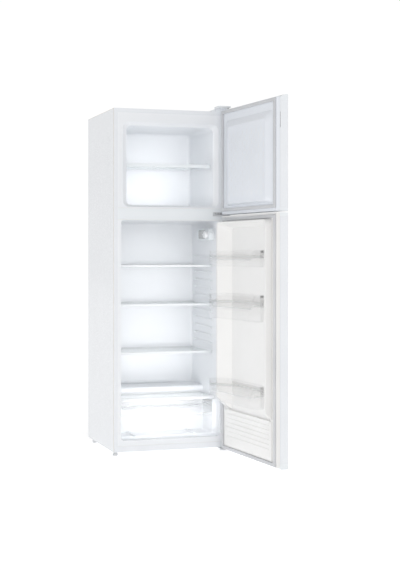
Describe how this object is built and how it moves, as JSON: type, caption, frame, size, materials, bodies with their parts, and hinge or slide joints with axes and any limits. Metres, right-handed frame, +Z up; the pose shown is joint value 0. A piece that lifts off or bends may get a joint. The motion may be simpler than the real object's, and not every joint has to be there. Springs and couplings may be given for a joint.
{
  "type": "top freezer refrigerator",
  "caption": "White top freezer refrigerator with hinged doors, sliding glass shelves, a crisper drawer, lift-out door bins and a rear compressor bay.",
  "frame": {"origin": "on the floor, at mid-width and mid-depth of the cabinet", "axes": "+Z up, +Y to the back of the cabinet, +X to the hinge side"},
  "size_m": [0.6078, 1.0564, 1.592],
  "materials": {
    "white_enamel": "gloss enamel on steel sheet",
    "white_plastic": "gloss moulding",
    "liner_plastic": "vacuum formed, soft gloss",
    "door_liner_plastic": "vacuum formed, soft gloss",
    "gasket_vinyl": "soft grey vinyl with a magnet inside",
    "foam": "expanded foam",
    "galvanised": "galvanised sheet",
    "hinge_steel": "zinc plated",
    "pin_steel": "plain steel",
    "compressor_black": "satin black",
    "rubber_black": "matt",
    "black_plastic": "matt",
    "coil_black": "satin black",
    "copper": "drawn copper",
    "evaporator_aluminium": "plain",
    "shelf_glass": "polished",
    "clear_plastic": "clear moulding",
    "lens_plastic": "frosted",
    "bulb_glass": "clear",
    "knob_plastic": "gloss moulding",
    "tray_plastic": "moulding",
    "foot_plastic": "moulding"
  },
  "bodies": {
    "cabinet": {"outer_shell": "white_enamel", "back_panel": "galvanised", "base_plate": "white_enamel", "compressor_rail": "galvanised", "freezer_liner": "liner_plastic", "fridge_liner": "liner_plastic", "mullion_cover": "white_plastic", "insulation_top_and_mullion": "foam", "insulation_floor": "foam", "insulation_freezer_sides": "foam", "insulation_fridge_sides": "foam", "insulation_back": "foam", "top_hinge_bracket": "white_enamel", "top_hinge_cover": "white_plastic", "middle_hinge_bracket": "hinge_steel", "bottom_hinge_bracket": "hinge_steel", "hinge_pins": "pin_steel", "hinge_screws": "pin_steel", "compressor": "compressor_black", "compressor_grommets": "rubber_black", "relay_cover": "black_plastic", "condenser_coil": "coil_black", "filter_drier": "copper", "refrigerant_lines": "copper", "evaporator_coil": "evaporator_aluminium", "drip_tray": "tray_plastic", "drain_tube": "tray_plastic", "mains_inlet_gland": "black_plastic", "control_housing": "white_plastic", "lamp_cover": "lens_plastic", "lamp_bulb": "bulb_glass", "rear_feet": "foot_plastic"},
    "freezer_door": {"freezer_door_skin": "white_enamel", "freezer_door_foam": "foam", "freezer_door_liner": "door_liner_plastic", "freezer_door_gasket": "gasket_vinyl", "freezer_door_caps": "white_plastic"},
    "fridge_door": {"fridge_door_skin": "white_enamel", "fridge_door_foam": "foam", "fridge_door_liner": "door_liner_plastic", "fridge_door_gasket": "gasket_vinyl", "fridge_door_caps": "white_plastic"},
    "upper_door_bin": {"upper_door_bin": "clear_plastic"},
    "middle_door_bin": {"middle_door_bin": "clear_plastic"},
    "bottle_bin": {"bottle_bin": "clear_plastic"},
    "freezer_shelf": {"freezer_shelf_glass": "shelf_glass", "freezer_shelf_trims": "white_plastic"},
    "upper_shelf": {"upper_shelf_glass": "shelf_glass", "upper_shelf_trims": "white_plastic"},
    "middle_shelf": {"middle_shelf_glass": "shelf_glass", "middle_shelf_trims": "white_plastic"},
    "lower_shelf": {"lower_shelf_glass": "shelf_glass", "lower_shelf_trims": "white_plastic"},
    "crisper_cover": {"crisper_cover_glass": "shelf_glass", "crisper_cover_trims": "white_plastic"},
    "crisper_drawer": {"crisper_drawer": "clear_plastic"},
    "thermostat_knob": {"thermostat_knob": "knob_plastic"},
    "door_switch_button": {"door_switch_button": "white_plastic"},
    "front_foot_left": {"front_foot_left": "foot_plastic"},
    "front_foot_right": {"front_foot_right": "foot_plastic"}
  },
  "joints": [
    {"name": "freezer_door_hinge", "type": "hinge", "parent": "cabinet", "child": "freezer_door", "pos_m": [0.2645, -0.278, 0], "axis": [0, 0, 1], "range_deg": [-94.6, 30]},
    {"name": "fridge_door_hinge", "type": "hinge", "parent": "cabinet", "child": "fridge_door", "pos_m": [0.2645, -0.278, 0], "axis": [0, 0, 1], "range_deg": [-94.6, 30]},
    {"name": "freezer_shelf_slide", "type": "slide", "parent": "cabinet", "child": "freezer_shelf", "axis": [0, -1, 0], "range_m": [0, 0.25]},
    {"name": "upper_shelf_slide", "type": "slide", "parent": "cabinet", "child": "upper_shelf", "axis": [0, -1, 0], "range_m": [0, 0.12]},
    {"name": "middle_shelf_slide", "type": "slide", "parent": "cabinet", "child": "middle_shelf", "axis": [0, -1, 0], "range_m": [0, 0.12]},
    {"name": "lower_shelf_slide", "type": "slide", "parent": "cabinet", "child": "lower_shelf", "axis": [0, -1, 0], "range_m": [0, 0.12]},
    {"name": "crisper_cover_slide", "type": "slide", "parent": "cabinet", "child": "crisper_cover", "axis": [0, -1, 0], "range_m": [0, 0.12]},
    {"name": "crisper_drawer_slide", "type": "slide", "parent": "cabinet", "child": "crisper_drawer", "axis": [0, -1, 0], "range_m": [0, 0.12]},
    {"name": "upper_door_bin_lift", "type": "slide", "parent": "fridge_door", "child": "upper_door_bin", "axis": [0, 0, 1], "range_m": [0, 0.045]},
    {"name": "middle_door_bin_lift", "type": "slide", "parent": "fridge_door", "child": "middle_door_bin", "axis": [0, 0, 1], "range_m": [0, 0.045]},
    {"name": "bottle_bin_lift", "type": "slide", "parent": "fridge_door", "child": "bottle_bin", "axis": [0, 0, 1], "range_m": [0, 0.045]},
    {"name": "thermostat_knob_turn", "type": "hinge", "parent": "cabinet", "child": "thermostat_knob", "pos_m": [0.2, -0.143, 1.003], "axis": [-1, 0, 0], "range_deg": [0, 270]},
    {"name": "door_switch_press", "type": "slide", "parent": "cabinet", "child": "door_switch_button", "axis": [0, 1, 0], "range_m": [0, 0.005], "stiffness_N_per_m": 300, "springref_m": -0.004},
    {"name": "front_foot_left_screw", "type": "slide", "parent": "cabinet", "child": "front_foot_left", "axis": [0, 0, 1], "range_m": [-0.012, 0]},
    {"name": "front_foot_right_screw", "type": "slide", "parent": "cabinet", "child": "front_foot_right", "axis": [0, 0, 1], "range_m": [-0.012, 0]}
  ]
}
